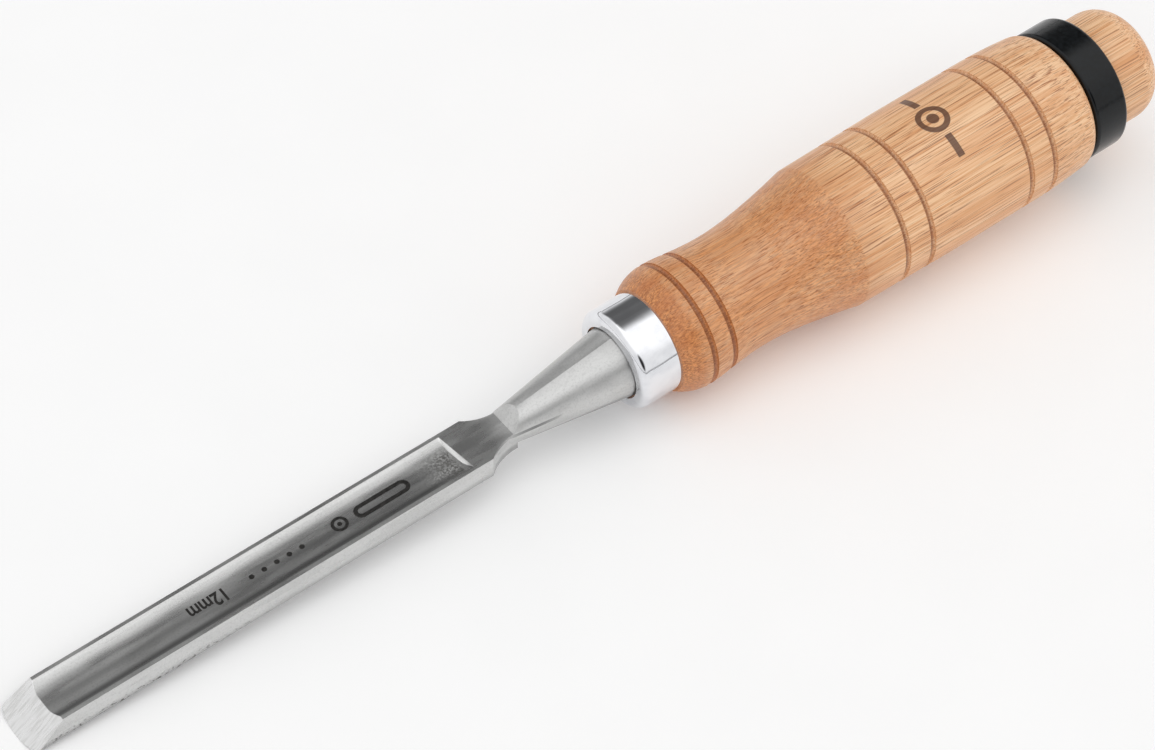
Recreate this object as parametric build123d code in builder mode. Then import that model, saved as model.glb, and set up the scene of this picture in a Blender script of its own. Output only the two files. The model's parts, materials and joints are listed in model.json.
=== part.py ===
from build123d import *
import math
import os

# A 12 mm tang chisel with a hollowed blade, lying on a bench. Millimetres.
#
# Row frame: the origin is the middle of the cutting edge, which touches the bench at Z = 0.
# The tool's axis rises gently towards the butt (+X), because the tool rests on its cutting edge
# and on the bead at the front of its handle. The sizes below are in the tool's own frame:
# "at" distances run along its axis from the cutting edge, heights are above that axis, and
# (at, radius) pairs are points of a turned outline.

# ---- Driving dimensions ----------------------------------------------------------------------

overall_length = 250.0

# Blade: narrower on top than below, hollowed on top and crowned underneath.
blade_width = 12.0
blade_top_width = 10.5
top_height = 1.2
wall_height = 3.85
crown = 0.8
lower_corner_radius = 0.5
bevel_angle = 34.0

# Hollow in the blade's top face, which ends in a ramp.
rim_width = 0.7
hollow_depth = 0.55
hollow_slope_width = 1.9
hollow_floor_radius = 9.0
hollow_end_at = 90.5
hollow_end_slope = 40.0
hollow_end_skew = 7.0

# Shoulder, neck and conical bolster.
shoulder_at = 94.7
neck_at = 101.6
neck_half_width = 3.05
cone_nose = (95.6, 1.2)
cone_start = (102.2, 3.5)
cone_slope = 0.148
flat_end_at = 101.4
flat_end_slope = 43.0

# Ferrule: a drawn cup whose front lip turns in around the bolster.
ferrule_front_at = 125.4
ferrule_rear_at = 133.8
ferrule_radius = 9.95
ferrule_wall = 1.0
ferrule_front_round = 1.6
ferrule_inner_round = 0.5
lip_clearance = 0.25

# Tang, hidden in the handle.
tang_length = 60.0
tang_root_width = 6.2
tang_end_width = 3.2
tang_chamfer = 0.5
tang_clearance = 0.02

# Handle outline, from the ferrule to the hoop. Its rear shoulder is an arc from rear_edge
# through rear_shoulder to a point rear_round nearer the axis.
bead_start = (ferrule_rear_at, 10.4)
bead_top = (139.8, 12.46)
bead_back = (145.2, 12.0)
waist = (152.0, 11.52)
flare_middle = (163.6, 12.55)
flare_end_lean = 0.22
barrel_front = (173.5, 14.45)
barrel_radius = 14.85
barrel_full_at = 196.0
barrel_end_at = 216.0
rear_edge = (227.8, 14.25)
rear_shoulder = (229.5, 13.5)
rear_round = 2.0
grooves = ((139.6, 12.46), (144.3, 12.11), (182.7, 14.64), (188.6, 14.72), (212.6, 14.85), (218.4, 14.84))
groove_radius = 0.62

# Striking hoop, and the handle's rear tenon that carries it.
hoop_front_at = 230.1
hoop_length = 7.7
hoop_radius = 13.55
hoop_outer_round = 0.8
hoop_inner_round = 0.3
hoop_clearance = 0.02
tenon_radius = 11.4
butt_round = 5.9

# ---- The tool's own frame, in the row frame --------------------------------------------------

wall_foot = top_height - wall_height
back_depth = crown - wall_foot

# The bench's surface passes through the cutting edge and is tangent to the bead's arc.
bead_run = bead_top[0] - bead_start[0]
bead_rise = bead_top[1] - bead_start[1]
bead_arc_radius = (bead_run**2 + bead_rise**2) / (2 * bead_rise)
centre_run = bead_top[0]
centre_rise = bead_top[1] - bead_arc_radius - back_depth
tangent_angle = math.asin(bead_arc_radius / math.hypot(centre_run, centre_rise))
rest_tilt = math.atan2(centre_rise, centre_run) + tangent_angle
along = Vector(math.cos(rest_tilt), 0, math.sin(rest_tilt))
upward = Vector(-math.sin(rest_tilt), 0, math.cos(rest_tilt))
axis_start = upward * back_depth

tool_axis = Axis(axis_start, along)
side_plane = Plane(axis_start, x_dir=along, z_dir=(0, -1, 0))
plan_plane = Plane(axis_start, x_dir=along, z_dir=upward)
section_plane = Plane(axis_start, x_dir=(0, 1, 0), z_dir=along)


def sloping_plane(at, height, slope, skew=0.0):
    """A plane across the tool that passes height above its axis and rises towards the butt.

    slope is the rise in degrees. skew turns the plane about the upward direction.
    """
    lean = math.sin(math.radians(slope))
    turn = math.radians(skew)
    normal = upward * math.cos(math.radians(slope))
    normal -= along * (lean * math.cos(turn))
    normal -= Vector(0, lean * math.sin(turn), 0)
    return Plane(axis_start + along * at + upward * height, z_dir=normal)


# ---- Blade, bolster and tang: one forging ----------------------------------------------------

half_foot = blade_width / 2
half_top = blade_top_width / 2
cone_end_at = ferrule_front_at + ferrule_wall
cone_end = (cone_end_at, cone_start[1] + cone_slope * (cone_end_at - cone_start[0]))
margin = 2.0

# The hollow is cut by a shallow trough with sloping sides.
half_mouth = half_top - rim_width
half_floor = half_mouth - hollow_slope_width
floor_height = top_height - hollow_depth
flare = margin * hollow_slope_width / hollow_depth
ramp_reach = 2 * margin

with BuildPart() as hollow_cutter:
    with BuildSketch(section_plane.offset(-margin)) as trough:
        with BuildLine():
            Polyline(
                (-half_mouth - flare, top_height + margin),
                (-half_floor, floor_height),
                (half_floor, floor_height),
                (half_mouth + flare, top_height + margin),
                close=True,
            )
        make_face()
        fillet(trough.vertices().group_by(Axis.Y)[0], hollow_floor_radius)
    extrude(amount=margin + hollow_end_at + ramp_reach)
    split(bisect_by=sloping_plane(hollow_end_at, floor_height, hollow_end_slope, hollow_end_skew))

# The flat top runs on over the neck and ends in a slope that climbs to the cone's ridge.
with BuildPart() as flat_cutter:
    with BuildSketch(side_plane):
        climb = 2 * cone_start[1]
        with BuildLine():
            Polyline(
                (shoulder_at - margin, top_height),
                (flat_end_at, top_height),
                (flat_end_at + climb / math.tan(math.radians(flat_end_slope)), top_height + climb),
                (shoulder_at - margin, top_height + climb),
                close=True,
            )
        make_face()
    extrude(amount=blade_width, both=True)


def tapered_tang(clearance):
    """The square, tapering tang, grown by a clearance."""
    with BuildPart() as taper:
        for at, width in ((cone_end_at, tang_root_width), (cone_end_at + tang_length, tang_end_width)):
            with BuildSketch(section_plane.offset(at)) as square:
                Rectangle(width + 2 * clearance, width + 2 * clearance)
                chamfer(square.vertices(), tang_chamfer)
        loft()
    return taper.part


tang = tapered_tang(0.0)
tang_bore = tapered_tang(tang_clearance)

with BuildPart() as blade:
    with BuildSketch(section_plane) as blade_section:
        with BuildLine():
            Polyline(
                (half_foot, wall_foot),
                (half_top, top_height),
                (-half_top, top_height),
                (-half_foot, wall_foot),
            )
            ThreePointArc((-half_foot, wall_foot), (0, -back_depth), (half_foot, wall_foot))
        make_face()
        fillet(blade_section.vertices().group_by(Axis.Y)[0], lower_corner_radius)
    extrude(amount=cone_start[0])

    # Seen from above, concave arcs draw the shoulders in to the neck.
    with BuildSketch(plan_plane):
        with BuildLine():
            Polyline((cone_start[0] + margin, 0), (cone_start[0] + margin, neck_half_width))
            Line((cone_start[0] + margin, neck_half_width), (neck_at, neck_half_width))
            TangentArc((neck_at, neck_half_width), (shoulder_at, half_foot), tangent=(-1, 0))
            Polyline((shoulder_at, half_foot), (shoulder_at, blade_width), (-margin, blade_width))
            Line((-margin, blade_width), (-margin, 0))
            mirror(about=Plane.XZ)
        make_face()
    extrude(amount=blade_width, both=True, mode=Mode.INTERSECT)

    # The conical bolster, whose rounded nose sinks into the blade.
    with BuildSketch(side_plane):
        with BuildLine():
            Polyline(cone_start, cone_end, (cone_end[0], 0), (cone_nose[0], 0), cone_nose)
            TangentArc(cone_start, cone_nose, tangent=(-1, -cone_slope))
        make_face()
    revolve(axis=tool_axis)

    add(hollow_cutter.part, mode=Mode.SUBTRACT)
    add(flat_cutter.part, mode=Mode.SUBTRACT)
    split(bisect_by=sloping_plane(0, -back_depth, bevel_angle), keep=Keep.BOTTOM)
    add(tang)
blade.part.label = "blade"

# ---- Ferrule ---------------------------------------------------------------------------------

with BuildPart() as ferrule:
    lip_radius = cone_end[1] + lip_clearance
    with BuildSketch(side_plane) as ferrule_section:
        with BuildLine():
            Polyline(
                (ferrule_front_at, lip_radius),
                (ferrule_front_at, ferrule_radius),
                (ferrule_rear_at, ferrule_radius),
                (ferrule_rear_at, ferrule_radius - ferrule_wall),
                (cone_end_at, ferrule_radius - ferrule_wall),
                (cone_end_at, lip_radius),
                close=True,
            )
        make_face()
        corners = ferrule_section.vertices()
        fillet(corners.sort_by_distance((ferrule_front_at, ferrule_radius))[0], ferrule_front_round)
        inner_corner = (cone_end_at, ferrule_radius - ferrule_wall)
        fillet(corners.sort_by_distance(inner_corner)[0], ferrule_inner_round)
    revolve(axis=tool_axis)
ferrule.part.label = "ferrule"

# ---- Handle ----------------------------------------------------------------------------------

with BuildPart() as handle:
    front_tenon_radius = ferrule_radius - ferrule_wall
    rear_step = (hoop_front_at, rear_edge[1] - rear_round)
    butt_corner = (overall_length - butt_round, tenon_radius)
    butt_face = (overall_length, tenon_radius - butt_round)
    with BuildSketch(side_plane):
        with BuildLine():
            Polyline(
                (cone_end_at, 0),
                (cone_end_at, front_tenon_radius - ferrule_inner_round),
                (cone_end_at + ferrule_inner_round, front_tenon_radius),
                (ferrule_rear_at, front_tenon_radius),
                bead_start,
            )
            TangentArc(bead_top, bead_start, tangent=(-1, 0))
            swell = (bead_top, bead_back, waist, flare_middle, barrel_front)
            Spline(*swell, tangents=((1, 0), (1, flare_end_lean)))
            Polyline(barrel_front, (barrel_full_at, barrel_radius), (barrel_end_at, barrel_radius))
            TangentArc((barrel_end_at, barrel_radius), rear_edge, tangent=(1, 0))
            ThreePointArc(rear_edge, rear_shoulder, rear_step)
            Polyline(rear_step, (hoop_front_at, tenon_radius), butt_corner)
            TangentArc(butt_corner, butt_face, tangent=(1, 0))
            Polyline(butt_face, (overall_length, 0), (cone_end_at, 0))
        make_face()

        # Pairs of turned grooves.
        with Locations(*grooves):
            Circle(groove_radius, mode=Mode.SUBTRACT)
    revolve(axis=tool_axis)
    add(tang_bore, mode=Mode.SUBTRACT)
handle.part.label = "handle"

# ---- Striking hoop ---------------------------------------------------------------------------

with BuildPart() as striking_hoop:
    hoop_bore_radius = tenon_radius + hoop_clearance
    hoop_middle = (hoop_front_at + hoop_length / 2, (hoop_radius + hoop_bore_radius) / 2)
    with BuildSketch(side_plane) as hoop_section:
        with Locations(hoop_middle):
            Rectangle(hoop_length, hoop_radius - hoop_bore_radius)
        fillet(hoop_section.vertices().group_by(Axis.Y)[-1], hoop_outer_round)
        fillet(hoop_section.vertices().group_by(Axis.Y)[0], hoop_inner_round)
    revolve(axis=tool_axis)
striking_hoop.part.label = "striking_hoop"

# ---- One STEP file for each piece ------------------------------------------------------------

os.makedirs("parts", exist_ok=True)
for piece in (blade.part, ferrule.part, handle.part, striking_hoop.part):
    export_step(piece, f"parts/{piece.label}.step")
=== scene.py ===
import json
import math

import bmesh
import bpy
from mathutils import Matrix, Vector


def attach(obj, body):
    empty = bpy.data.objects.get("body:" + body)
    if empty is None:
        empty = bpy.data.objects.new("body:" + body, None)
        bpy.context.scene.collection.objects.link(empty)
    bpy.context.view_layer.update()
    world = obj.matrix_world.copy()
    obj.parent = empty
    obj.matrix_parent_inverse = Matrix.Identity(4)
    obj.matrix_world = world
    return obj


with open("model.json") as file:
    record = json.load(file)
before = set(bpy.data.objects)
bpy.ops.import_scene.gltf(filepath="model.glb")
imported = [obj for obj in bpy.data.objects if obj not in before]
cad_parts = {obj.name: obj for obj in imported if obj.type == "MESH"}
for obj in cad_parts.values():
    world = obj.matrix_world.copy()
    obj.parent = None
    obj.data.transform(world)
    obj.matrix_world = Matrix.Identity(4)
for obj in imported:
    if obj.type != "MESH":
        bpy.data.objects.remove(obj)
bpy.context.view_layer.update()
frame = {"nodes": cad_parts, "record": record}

# A 12 mm tang chisel on a pale floor. Metres; sizes named _mm are in millimetres.

MM = 0.001

# ---- The tool's own frame, from the mount on its butt ----------------------------------------
# "at" distances run along its axis from the cutting edge, "side" is to +Y and "height" is above
# the axis.

mounts = {mount["name"]: mount for mount in frame["record"]["mounts"]}
butt = Vector(mounts["butt_face"]["pos_m"])
along = Vector(mounts["butt_face"]["axis"]).normalized()
across = Vector((0, 1, 0))
upward = along.cross(across)
rest_tilt = math.atan2(along.z, along.x)
axis_start = butt - along * butt.dot(along)
back_depth = axis_start.dot(upward) / MM
tool_frame = Matrix.Translation(axis_start) @ Matrix((along, across, upward)).transposed().to_4x4()

# Places on the tool that its finish depends on, in millimetres.
hollow_end_at = 90.5
hollow_half_width = 4.55
hollow_floor_height = 0.65
hollow_rim_height = 1.2
wall_foot_height = -2.65
bevel_angle = math.radians(34)
grooves_at = (139.6, 144.3, 182.7, 188.6, 212.6, 218.4)
groove_radius = 0.62
barrel_front_at = 173.5
barrel_radius = 14.85
cone_from_at = 96.5
handle_mark_at = 199.8


def colour(red, green, blue):
    """A linear colour from screen values between 0 and 255."""
    return tuple((value / 255) ** 2.2 for value in (red, green, blue)) + (1.0,)


# ---- Short ways to add and join shader nodes -------------------------------------------------


def add(tree, kind, values=None, **settings):
    """Adds a node. values are numbers or sockets to join, by the input's name or index."""
    node = tree.nodes.new("ShaderNode" + kind)
    for name, setting in settings.items():
        setattr(node, name, setting)
    for socket, value in (values or {}).items():
        if isinstance(value, bpy.types.NodeSocket):
            tree.links.new(value, node.inputs[socket])
        else:
            node.inputs[socket].default_value = value
    return node


def maths(tree, operation, first, second=0.0):
    return add(tree, "Math", {0: first, 1: second}, operation=operation).outputs[0]


def times(tree, first, *others):
    """The product of two or more values."""
    for other in others:
        first = maths(tree, "MULTIPLY", first, other)
    return first


def fade(tree, value, low, high, at_low=0.0, at_high=1.0):
    """Goes smoothly from at_low to at_high as the value goes from low to high."""
    limits = {"From Min": low, "From Max": high, "To Min": at_low, "To Max": at_high}
    node = add(tree, "MapRange", {"Value": value, **limits}, interpolation_type="SMOOTHSTEP")
    return node.outputs["Result"]


def mix(tree, factor, first, second, blend="MIX"):
    node = add(tree, "Mix", {0: factor, 6: first, 7: second}, data_type="RGBA", blend_type=blend)
    return node.outputs[2]


def noise(tree, place, per_mm, detail=3.0, roughness=0.5):
    """Noise from 0 to 1. per_mm is its frequency along, across and above the axis."""
    scaled = add(tree, "VectorMath", {0: place, 1: per_mm}, operation="MULTIPLY").outputs[0]
    values = {"Vector": scaled, "Scale": 1.0, "Detail": detail, "Roughness": roughness}
    return add(tree, "TexNoise", values).outputs["Fac"]


def stripe(tree, value, middle, half_width):
    """Is 1 where the value is at the middle, and fades to 0 at half_width on either side."""
    offset = maths(tree, "ABSOLUTE", maths(tree, "SUBTRACT", value, middle))
    return fade(tree, offset, half_width, 0.0)


def relief(tree, surface, height, depth_mm):
    """Bumps the surface by a height from 0 to 1, which is depth_mm deep."""
    values = {"Height": height, "Strength": 1.0, "Distance": depth_mm * MM}
    tree.links.new(add(tree, "Bump", values).outputs["Normal"], surface.inputs["Normal"])


def new_material(name):
    material = bpy.data.materials.new(name)
    material.use_nodes = True
    tree = material.node_tree
    return material, tree, tree.nodes["Principled BSDF"]


def tool_place(tree):
    """The shaded point in the tool's own millimetres: as one vector, then at, side and height."""
    values = {
        "Vector": add(tree, "TexCoord").outputs["Object"],
        "Location": (0, 0, -back_depth),
        "Rotation": (0, rest_tilt, 0),
        "Scale": (1 / MM, 1 / MM, 1 / MM),
    }
    place = add(tree, "Mapping", values).outputs["Vector"]
    parts = add(tree, "SeparateXYZ", {0: place}).outputs
    return place, parts[0], parts[1], parts[2]


def slope_along(tree):
    """How far the surface faces along the tool's axis, from 0 to 1."""
    normal = add(tree, "NewGeometry").outputs["Normal"]
    dot = add(tree, "VectorMath", {0: normal, 1: along}, operation="DOT_PRODUCT")
    return maths(tree, "ABSOLUTE", dot.outputs["Value"])


def set_all(surface, **values):
    """Sets sockets that are the same all over, named with underscores for spaces."""
    for name, value in values.items():
        surface.inputs[name.replace("_", " ")].default_value = value


# ---- Wood ------------------------------------------------------------------------------------

# The mark burned across the top of the barrel, in millimetres from its centre. Each edge says
# where the burn starts and where it is full.
burn_ring_radius = 2.7
burn_ring_edge = (0.62, 0.48)
burn_dot_edge = (1.3, 1.1)
burn_bar_middle = 6.7
burn_bar_end = (2.5, 2.35)
burn_bar_side = (0.8, 0.65)


def burned_mark(tree, at, side, height):
    """A plain ring with a dot, between two bars, burned in across the top of the barrel."""
    angle = maths(tree, "ARCTAN2", side, height)
    arc = maths(tree, "MULTIPLY", angle, barrel_radius)
    run = maths(tree, "SUBTRACT", at, handle_mark_at)
    squares = maths(tree, "ADD", times(tree, run, run), times(tree, arc, arc))
    reach = maths(tree, "SQRT", squares)
    from_ring = maths(tree, "ABSOLUTE", maths(tree, "SUBTRACT", reach, burn_ring_radius))
    ring = fade(tree, from_ring, *burn_ring_edge)
    dot = fade(tree, reach, *burn_dot_edge)
    off_top = maths(tree, "ABSOLUTE", arc)
    from_bar = maths(tree, "ABSOLUTE", maths(tree, "SUBTRACT", off_top, burn_bar_middle))
    narrow = fade(tree, maths(tree, "ABSOLUTE", run), *burn_bar_side)
    bars = times(tree, fade(tree, from_bar, *burn_bar_end), narrow)
    return maths(tree, "MAXIMUM", maths(tree, "MAXIMUM", ring, dot), bars)


def lacquered_wood():
    material, tree, surface = new_material("lacquered_wood")
    place, at, side, height = tool_place(tree)

    # Straight grain, drawn out along the handle: broad bands, streaks and short dark pores.
    bands = noise(tree, place, (0.007, 0.26, 0.26), detail=2.0)
    streaks = noise(tree, place, (0.02, 2.2, 2.2), detail=4.0, roughness=0.75)
    pores = noise(tree, place, (0.07, 5.2, 5.2), detail=2.0, roughness=0.6)
    wood = mix(tree, fade(tree, streaks, 0.38, 0.66), colour(247, 204, 160), colour(222, 158, 106))
    wood = mix(tree, fade(tree, bands, 0.38, 0.7, 0.0, 0.6), wood, colour(220, 152, 98))
    wood = mix(tree, fade(tree, pores, 0.53, 0.68, 0.0, 0.72), wood, colour(152, 88, 46))

    # Where the turning cuts across the grain, in front of the barrel, it is darker and its
    # grain shows as finer, shorter streaks.
    cross_cut = fade(tree, slope_along(tree), 0.03, 0.42)
    front = fade(tree, at, barrel_front_at + 9, barrel_front_at - 5)
    flecks = noise(tree, place, (0.3, 3.4, 3.4), detail=4.0, roughness=0.75)
    clouds = noise(tree, place, (0.1, 0.3, 0.3), detail=2.0)
    end_grain = mix(tree, fade(tree, flecks, 0.36, 0.64), colour(226, 148, 84), colour(146, 78, 34))
    end_grain = mix(tree, fade(tree, clouds, 0.4, 0.7, 0.0, 0.55), end_grain, colour(184, 102, 46))
    warm = times(tree, front, fade(tree, cross_cut, 0.0, 1.0, 0.5, 0.85))
    wood = mix(tree, warm, wood, end_grain)
    wood = mix(tree, fade(tree, pores, 0.53, 0.68, 0.0, 0.45), wood, colour(140, 76, 36))

    # Grooves, a little burned by the tool that cut them.
    nearest = 1000.0
    for groove_at in grooves_at:
        offset = maths(tree, "ABSOLUTE", maths(tree, "SUBTRACT", at, groove_at))
        nearest = maths(tree, "MINIMUM", offset, nearest)
    groove = fade(tree, nearest, groove_radius, 0.0)
    charred = times(tree, groove, fade(tree, flecks, 0.3, 0.7, 0.6, 0.95))
    wood = mix(tree, charred, wood, colour(128, 70, 30))

    mark = burned_mark(tree, at, side, height)
    wood = mix(tree, times(tree, mark, 0.88), wood, colour(84, 48, 30))
    tree.links.new(wood, surface.inputs["Base Color"])

    tree.links.new(fade(tree, streaks, 0.3, 0.7, 0.36, 0.5), surface.inputs["Roughness"])
    set_all(surface, Coat_Weight=0.18, Coat_Roughness=0.22)
    dents = maths(tree, "ADD", times(tree, pores, -0.5), times(tree, mark, -3.0))
    relief(tree, surface, dents, 0.05)
    return material


# ---- Metals ----------------------------------------------------------------------------------

# Dark bands painted along the hollow, as painted reflections: how far to +Y, half width and strength.
painted_hollow_reflections = ((-0.9, 1.3, 0.45), (-3.9, 1.3, 0.8))

# The scuffed patch with its painted shade, and the painted highlight at the top of the hollow's end,
# measured from the hollow's end towards the tip. In each pair here and below, the mark starts at the
# first distance and is full at the second.
scuffs_and_shade_from_tip = (9.0, 1.5)
scuffs_and_shade_from_end = (-0.2, 0.6)
scuffs_and_shade_side = (3.2, 0.6)
highlight_before_end = -0.3
highlight_half_width = 0.9

# Heights above the foot of a side wall, for the painted shade at the foot and for the pits, and where the
# pits are along the blade.
shaded_foot = (1.4, 0.1)
pitted_foot = (1.5, 0.5)
pitted_at = (62, 20)

# How sharply the bevel, the rim, the floor and the sides of the hollow bound their finish.
bevel_edge = (0.06, 0.02)
rim_edge = 0.06
floor_edge = (0.1, 0.02)
side_edge = 0.2
cone_blend = 6


def bevel_mask(tree, at, height):
    """Is 1 on the bevel: the plane that rises from the cutting edge at the bevel's angle."""
    rise = times(tree, maths(tree, "ADD", height, back_depth), math.cos(bevel_angle))
    from_bevel = maths(tree, "SUBTRACT", times(tree, at, math.sin(bevel_angle)), rise)
    return fade(tree, maths(tree, "ABSOLUTE", from_bevel), *bevel_edge)


def hollow_mask(tree, side, height):
    """Is 1 in the hollow: between its floor and its rim, and between the side rims."""
    below_top = fade(tree, height, hollow_rim_height, hollow_rim_height - rim_edge)
    below_floor, near_floor = (hollow_floor_height - depth for depth in floor_edge)
    above_floor = fade(tree, height, below_floor, near_floor)
    off_middle = maths(tree, "ABSOLUTE", side)
    between_rims = fade(tree, off_middle, hollow_half_width + side_edge, hollow_half_width)
    return times(tree, below_top, above_floor, between_rims)


def painted_reflection_bands(tree, side, clouds, in_hollow):
    """How dark the hollow is painted: its painted reflections, as dark bands."""
    bands = 0.0
    for middle, half_width, strength in painted_hollow_reflections:
        bands = maths(tree, "ADD", bands, times(tree, stripe(tree, side, middle, half_width), strength))
    return times(tree, bands, fade(tree, clouds, 0.3, 0.7, 0.8, 1.1), in_hollow)


def scuffed_and_shaded_patch(tree, before_end, side, in_hollow):
    """Scuffs in front of the ramp, where the grinding wheel left the hollow, with painted shade towards -Y.
    """
    patch = times(tree, fade(tree, before_end, *scuffs_and_shade_from_tip), fade(tree, before_end, *scuffs_and_shade_from_end))
    return times(tree, patch, fade(tree, side, *scuffs_and_shade_side), in_hollow)


def above_wall_foot(tree, height, edge):
    """Is 1 at the foot of a side wall, and fades out between two heights above it."""
    return fade(tree, height, wall_foot_height + edge[0], wall_foot_height + edge[1])


def wall_pits(tree, place, at, height, bevel):
    """Pits in the forged skin, left along the foot of each side wall near the tip."""
    spots = fade(tree, noise(tree, place, (1.1, 2.4, 2.4), detail=2.0), 0.55, 0.62)
    low = above_wall_foot(tree, height, pitted_foot)
    return times(tree, low, spots, fade(tree, at, *pitted_at), maths(tree, "SUBTRACT", 1.0, bevel))


def ground_steel():
    material, tree, surface = new_material("ground_steel")
    place, at, side, height = tool_place(tree)
    brushed = noise(tree, place, (0.05, 5.0, 5.0), detail=3.0, roughness=0.6)
    clouds = noise(tree, place, (0.08, 0.5, 0.5), detail=3.0)
    speckle = noise(tree, place, (2.6, 2.6, 2.6), detail=3.0, roughness=0.7)
    strokes = noise(tree, place, (0.25, 2.2, 0.25), detail=3.0)

    bevel = bevel_mask(tree, at, height)
    in_hollow = hollow_mask(tree, side, height)
    bands = painted_reflection_bands(tree, side, clouds, in_hollow)
    before_end = maths(tree, "SUBTRACT", hollow_end_at, at)
    patch = scuffed_and_shaded_patch(tree, before_end, side, in_hollow)
    ridge_highlight = times(tree, stripe(tree, before_end, highlight_before_end, highlight_half_width), in_hollow)
    foot = above_wall_foot(tree, height, shaded_foot)
    pits = wall_pits(tree, place, at, height, bevel)

    steel = mix(tree, fade(tree, clouds, 0.35, 0.65), colour(198, 198, 197), colour(210, 210, 209))
    steel = mix(tree, fade(tree, speckle, 0.45, 0.7, 0.0, 0.4), steel, colour(172, 172, 171))
    steel = mix(tree, fade(tree, brushed, 0.5, 0.75, 0.0, 0.12), steel, colour(160, 160, 160))
    # Painted shade: each side wall is painted darker towards its foot, where it turns under.
    steel = mix(tree, times(tree, foot, 0.6), steel, colour(140, 140, 140))
    # Painted reflections: dark bands painted along the hollow.
    steel = mix(tree, bands, steel, colour(112, 112, 112))
    # Scuffs with painted shade: the patch in front of the ramp is painted darker, most towards -Y.
    scuffs_and_shade = times(tree, patch, fade(tree, speckle, 0.35, 0.6))
    steel = mix(tree, scuffs_and_shade, steel, colour(120, 119, 117))
    # Painted highlight: a near-white line painted along the top edge of the hollow's end.
    steel = mix(tree, times(tree, ridge_highlight, 0.8), steel, colour(244, 244, 243))
    # Painted highlight: the bevel is painted lighter than the rest, with its grinding strokes in it.
    bevel_highlight_and_strokes = mix(tree, fade(tree, strokes, 0.4, 0.65), colour(236, 236, 236), colour(220, 220, 219))
    steel = mix(tree, bevel, steel, bevel_highlight_and_strokes)
    steel = mix(tree, times(tree, pits, 0.85), steel, colour(70, 68, 66))
    tree.links.new(steel, surface.inputs["Base Color"])

    # The scuffed patch and the satin cone are rougher than the rest.
    cone = fade(tree, at, cone_from_at, cone_from_at + cone_blend)
    rough = fade(tree, clouds, 0.3, 0.7, 0.24, 0.33)
    rough = maths(tree, "ADD", rough, times(tree, patch, 0.2))
    rough = maths(tree, "ADD", rough, times(tree, cone, 0.17))
    tree.links.new(rough, surface.inputs["Roughness"])
    set_all(surface, Metallic=1.0)
    depth = maths(tree, "SUBTRACT", times(tree, brushed, 0.3), times(tree, pits, 2.0))
    depth = maths(tree, "ADD", depth, times(tree, speckle, 0.5))
    depth = maths(tree, "ADD", depth, times(tree, speckle, patch, 4.0))
    relief(tree, surface, depth, 0.012)
    return material


def polished_chrome():
    material, tree, surface = new_material("polished_chrome")
    place = tool_place(tree)[0]
    haze = noise(tree, place, (0.25, 0.35, 0.35), detail=3.0)
    tree.links.new(fade(tree, haze, 0.35, 0.7, 0.035, 0.12), surface.inputs["Roughness"])
    tint = mix(tree, fade(tree, haze, 0.3, 0.7), colour(236, 237, 240), colour(222, 223, 227))
    tree.links.new(tint, surface.inputs["Base Color"])
    set_all(surface, Metallic=1.0)
    relief(tree, surface, noise(tree, place, (0.14, 0.2, 0.2), detail=1.0), 0.1)
    return material


def gloss_black():
    material, tree, surface = new_material("gloss_black")
    place = tool_place(tree)[0]
    skin = noise(tree, place, (1.1, 1.1, 1.1), detail=2.0)
    tint = mix(tree, fade(tree, skin, 0.35, 0.65), colour(9, 12, 14), colour(17, 21, 24))
    tree.links.new(tint, surface.inputs["Base Color"])
    tree.links.new(fade(tree, skin, 0.3, 0.7, 0.14, 0.22), surface.inputs["Roughness"])
    set_all(surface, Specular_IOR_Level=0.3)
    relief(tree, surface, skin, 0.015)
    return material


def etched_dark():
    material, tree, surface = new_material("etched_dark")
    place = tool_place(tree)[0]
    worn = noise(tree, place, (1.2, 3.0, 3.0), detail=4.0, roughness=0.7)
    tint = mix(tree, fade(tree, worn, 0.35, 0.7), colour(22, 21, 20), colour(58, 56, 54))
    tree.links.new(tint, surface.inputs["Base Color"])
    tree.links.new(fade(tree, worn, 0.3, 0.7, 0.45, 0.65), surface.inputs["Roughness"])
    set_all(surface, Metallic=0.4)
    return material


def pale_floor():
    material, tree, surface = new_material("pale_floor")
    place = add(tree, "TexCoord").outputs["Object"]
    grain = noise(tree, place, (40.0, 40.0, 40.0), detail=3.0)
    tint = mix(tree, grain, colour(249, 249, 249), colour(253, 253, 253))
    tree.links.new(tint, surface.inputs["Base Color"])
    set_all(surface, Roughness=0.7, Emission_Color=(1, 1, 1, 1), Emission_Strength=0.06)
    return material


def finish_node(node, material):
    """Gives a CAD node its material."""
    for slot in frame["nodes"][node].material_slots:
        slot.material = material


finish_node("blade", ground_steel())
finish_node("ferrule", polished_chrome())
finish_node("handle", lacquered_wood())
finish_node("striking_hoop", gloss_black())

# ---- Etched marks on the hollow's floor: the blade's width, and plain dots, a ring and a bar --

etch_thickness_mm = 0.02
size_text_at = 39.1
dots_from_at = 48.0
dot_spacing = 2.6
dot_count = 5
dot_radius = 0.5
size_text_height = 4.0
size_text_weight = 0.1
size_text_narrowing = 0.78
ring_radii = (1.6, 1.0, 0.45)
bar_outside = (11.5, 2.9)
bar_inside = (9.9, 1.3)
ring_mark_at = 66.3
bar_mark_at = 75.2
etching = etched_dark()

# Seen from the handle's end the marks are upright: they run towards the tip, tops towards -Y.
mark_turn = Matrix.Rotation(math.pi, 4, "Z")


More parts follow.
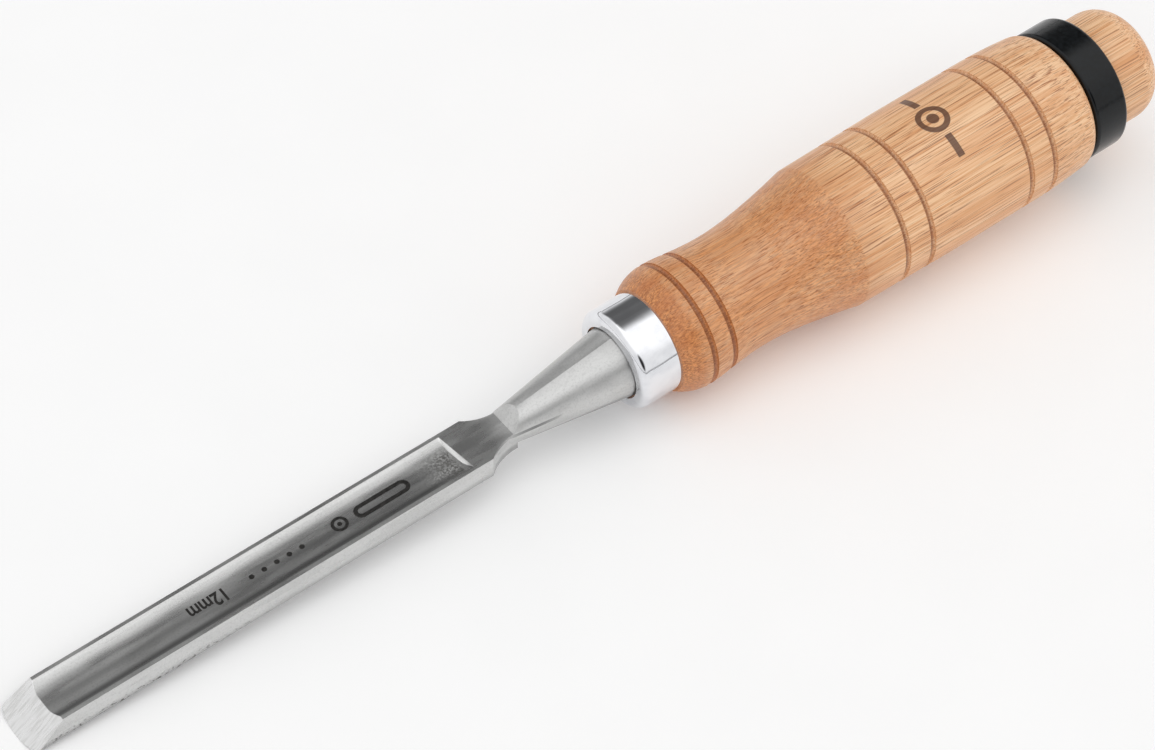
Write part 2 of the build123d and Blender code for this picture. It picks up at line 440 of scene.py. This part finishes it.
def etch(name, at, mesh):
    """Lays a flat mesh, drawn in millimetres, on the hollow's floor."""
    place = Matrix.Translation(Vector((at, 0, hollow_floor_height)))
    mesh.transform(tool_frame @ Matrix.Scale(MM, 4) @ place @ mark_turn)
    mesh.materials.clear()
    mesh.materials.append(etching)
    piece = bpy.data.objects.new(name, mesh)
    bpy.context.scene.collection.objects.link(piece)
    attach(piece, "root")


def outline_mesh(name, loops):
    """A thin flat plate, filled between its loops by turns: the first is its outside."""
    curve = bpy.data.curves.new(name, "CURVE")
    curve.dimensions = "2D"
    curve.fill_mode = "BOTH"
    curve.extrude = etch_thickness_mm / 2
    for loop in loops:
        spline = curve.splines.new("POLY")
        spline.points.add(len(loop) - 1)
        for point, (x, y) in zip(spline.points, loop):
            point.co = (x, y, 0, 1)
        spline.use_cyclic_u = True
    return curve_mesh(name, curve)


def curve_mesh(name, curve):
    holder = bpy.data.objects.new(name + "_curve", curve)
    mesh = bpy.data.meshes.new_from_object(holder)
    bpy.data.objects.remove(holder)
    return mesh


def circle(radius, steps=64):
    turns = [math.tau * step / steps for step in range(steps)]
    return [(radius * math.cos(turn), radius * math.sin(turn)) for turn in turns]


def rounded_bar(length, width, steps=16):
    """A bar with round ends."""
    points = []
    for end in (1, -1):
        for step in range(steps + 1):
            turn = math.pi * (step / steps - 0.5)
            x = end * (length / 2 - width / 2 + width / 2 * math.cos(turn))
            points.append((x, end * width / 2 * math.sin(turn)))
    return points


size_text = bpy.data.curves.new("size_text", "FONT")
size_text.body = "12mm"
size_text.size = size_text_height
size_text.offset = size_text_weight
size_text.align_x = "CENTER"
size_text.align_y = "CENTER"
size_text.extrude = etch_thickness_mm / 2
size_mark = curve_mesh("size_mark", size_text)
size_mark.transform(Matrix.Diagonal((size_text_narrowing, 1, 1, 1)))
etch("size_mark", size_text_at, size_mark)
etch("ring_mark", ring_mark_at, outline_mesh("ring_mark", [circle(radius) for radius in ring_radii]))
bar_loops = [rounded_bar(*bar_outside), rounded_bar(*bar_inside)]
etch("bar_mark", bar_mark_at, outline_mesh("bar_mark", bar_loops))
for number in range(dot_count):
    name = f"dot_mark_{number + 1}"
    etch(name, dots_from_at + dot_spacing * number, outline_mesh(name, [circle(dot_radius)]))

# ---- Floor, light and camera -----------------------------------------------------------------

floor_size = 1.6
floor_mesh = bpy.data.meshes.new("floor")
shape = bmesh.new()
bmesh.ops.create_grid(shape, x_segments=8, y_segments=8, size=floor_size)
shape.to_mesh(floor_mesh)
shape.free()
floor_mesh.materials.append(pale_floor())
floor = bpy.data.objects.new("floor", floor_mesh)
bpy.context.scene.collection.objects.link(floor)

# A white studio round the tool. Each card is a direction, the angles at which its edge begins
# and ends, in degrees, and its brightness.
studio_level = 0.92
horizon_edge = (0.02, 0.06)
horizon_level = 0.35
cards = (
    (Vector((0.15, -0.15, 1.0)), 18, 60, 1.3),
    (Vector((-0.65, 0.5, 0.58)), 10, 34, 0.85),
    (Vector((0.3, 0.55, 0.78)), 0, 30, 0.13),
    (Vector((0.33, 0.85, 0.42)), 4, 24, 0.12),
    (Vector((-0.15, -0.9, 0.4)), 10, 22, 0.03),
)
world = bpy.data.worlds.new("studio")
bpy.context.scene.world = world
world.use_nodes = True
sky = world.node_tree
direction = add(sky, "TexCoord").outputs["Generated"]
level = studio_level
for facing, inner, outer, brightness in cards:
    dot = add(sky, "VectorMath", {0: direction, 1: facing.normalized()}, operation="DOT_PRODUCT")
    limits = (math.cos(math.radians(outer)), math.cos(math.radians(inner)))
    mask = fade(sky, dot.outputs["Value"], *limits)
    kept = maths(sky, "MULTIPLY", level, maths(sky, "SUBTRACT", 1.0, mask))
    level = maths(sky, "ADD", kept, maths(sky, "MULTIPLY", mask, brightness))
# A thin dark line at the horizon, as where a studio's floor meets its wall.
upness = add(sky, "SeparateXYZ", {0: direction}).outputs[2]
horizon = fade(sky, maths(sky, "ABSOLUTE", upness), *horizon_edge, horizon_level, 1.0)
level = maths(sky, "MULTIPLY", level, horizon)
grey = add(sky, "CombineColor", {0: level, 1: level, 2: level}).outputs[0]
sky.links.new(grey, sky.nodes["Background"].inputs["Color"])

# The camera looks down on the tool from its left, butt to the upper right.
camera_azimuth = math.radians(-38.95)
camera_elevation = math.radians(49.22)
camera_roll = math.radians(2.69)
camera_distance = 0.6498
camera_target = Vector((0.1281, 0.01345, -0.0067))
camera_data = bpy.data.cameras.new("camera")
camera_data.sensor_width = 36.0
camera_data.lens = 109.09
camera_data.clip_start = 0.01
camera = bpy.data.objects.new("camera", camera_data)
bpy.context.scene.collection.objects.link(camera)
level_back = Vector((math.sin(camera_azimuth), -math.cos(camera_azimuth), 0))
back = level_back * math.cos(camera_elevation) + Vector((0, 0, math.sin(camera_elevation)))
level_right = Vector((0, 0, 1)).cross(back).normalized()
level_up = back.cross(level_right)
right = level_right * math.cos(camera_roll) + level_up * math.sin(camera_roll)
axes = Matrix((right, back.cross(right), back)).transposed().to_4x4()
camera.matrix_world = Matrix.Translation(camera_target + back * camera_distance) @ axes
bpy.context.scene.camera = camera
bpy.context.scene.view_settings.view_transform = "Standard"
